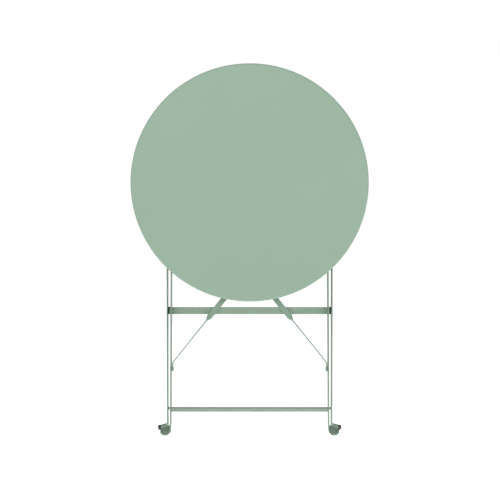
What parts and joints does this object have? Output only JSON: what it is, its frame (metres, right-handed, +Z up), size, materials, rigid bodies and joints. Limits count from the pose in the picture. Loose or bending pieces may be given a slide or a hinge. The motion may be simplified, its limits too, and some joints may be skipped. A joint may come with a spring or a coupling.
{
  "type": "folding bistro table",
  "caption": "Round steel bistro table on crossed flat-bar legs, folded upright, with slide rails, catch rod and forked stay under the top.",
  "frame": {"origin": "centre of the folded table's footprint, on the floor", "axes": "+Z up, the tabletop's upper surface faces -Y when folded, +X to the right seen from that side"},
  "size_m": [0.6, 0.0963, 0.9349],
  "materials": {
    "sage_powder_coat": "satin powder coat",
    "painted_fastener": "satin",
    "black_rubber": "matte"
  },
  "bodies": {
    "inner_frame": {"crossing_rivet_left": "painted_fastener", "crossing_rivet_right": "painted_fastener", "crossing_spacer_left": "black_rubber", "crossing_spacer_right": "black_rubber", "hinge_rod": "painted_fastener", "hinge_rod_cap_left": "painted_fastener", "hinge_rod_cap_right": "painted_fastener", "hinge_washer_left": "painted_fastener", "hinge_washer_right": "painted_fastener", "inner_foot_glide_left": "black_rubber", "inner_foot_glide_right": "black_rubber", "inner_leg_left": "sage_powder_coat", "inner_leg_right": "sage_powder_coat", "inner_lower_crossbar": "sage_powder_coat", "stay_pivot_left": "painted_fastener", "stay_pivot_right": "painted_fastener", "stay_washer_left": "painted_fastener", "stay_washer_right": "painted_fastener"},
    "tabletop": {"brace_rivet_lower_left": "painted_fastener", "brace_rivet_lower_right": "painted_fastener", "brace_rivet_upper_left": "painted_fastener", "brace_rivet_upper_right": "painted_fastener", "rail_strip_left": "sage_powder_coat", "rail_strip_right": "sage_powder_coat", "slide_rail_left": "sage_powder_coat", "slide_rail_right": "sage_powder_coat", "strip_rivet_lower_left": "painted_fastener", "strip_rivet_lower_right": "painted_fastener", "strip_rivet_upper_left": "painted_fastener", "strip_rivet_upper_right": "painted_fastener", "tabletop_brace_lower": "sage_powder_coat", "tabletop_brace_upper": "sage_powder_coat", "tabletop_pan": "sage_powder_coat"},
    "catch_rod": {"catch_rod": "painted_fastener", "catch_rod_cap_left": "painted_fastener", "catch_rod_cap_right": "painted_fastener", "catch_rod_collar_left": "painted_fastener", "catch_rod_collar_right": "painted_fastener"},
    "outer_frame": {"crossing_head_left": "painted_fastener", "crossing_head_right": "painted_fastener", "outer_foot_glide_left": "black_rubber", "outer_foot_glide_right": "black_rubber", "outer_leg_left": "sage_powder_coat", "outer_leg_right": "sage_powder_coat", "outer_lower_crossbar": "sage_powder_coat", "outer_upper_crossbar": "sage_powder_coat", "outer_upper_rivet_left": "painted_fastener", "outer_upper_rivet_right": "painted_fastener"},
    "stay": {"stay_hook_plate": "sage_powder_coat", "stay_hook_rivet_left": "painted_fastener", "stay_hook_rivet_right": "painted_fastener", "stay_strap_left": "sage_powder_coat", "stay_strap_right": "sage_powder_coat"}
  },
  "joints": [
    {"name": "tabletop_tilt", "type": "hinge", "parent": "inner_frame", "child": "tabletop", "pos_m": [0, 0.02536, 0.79486], "axis": [-1, 0, 0], "range_deg": [0, 60]},
    {"name": "catch_rod_slide", "type": "slide", "parent": "tabletop", "child": "catch_rod", "axis": [0, 0, -1], "range_m": [0, 0.39166]},
    {"name": "outer_frame_swing", "type": "hinge", "parent": "catch_rod", "child": "outer_frame", "pos_m": [0, -0.00453, 0.83042], "axis": [1, 0, 0], "range_deg": [0, 122.24]},
    {"name": "stay_swing", "type": "hinge", "parent": "inner_frame", "child": "stay", "pos_m": [0, -0.01872, 0.1645], "axis": [-1, 0, 0], "range_deg": [0, 27.61]}
  ],
  "couplings": [
    {"joint": "catch_rod_slide", "follows": "tabletop_tilt", "m_per_rad": 0.37382},
    {"joint": "outer_frame_swing", "follows": "tabletop_tilt", "ratio": 2.037},
    {"joint": "stay_swing", "follows": "tabletop_tilt", "ratio": 0.45977}
  ]
}
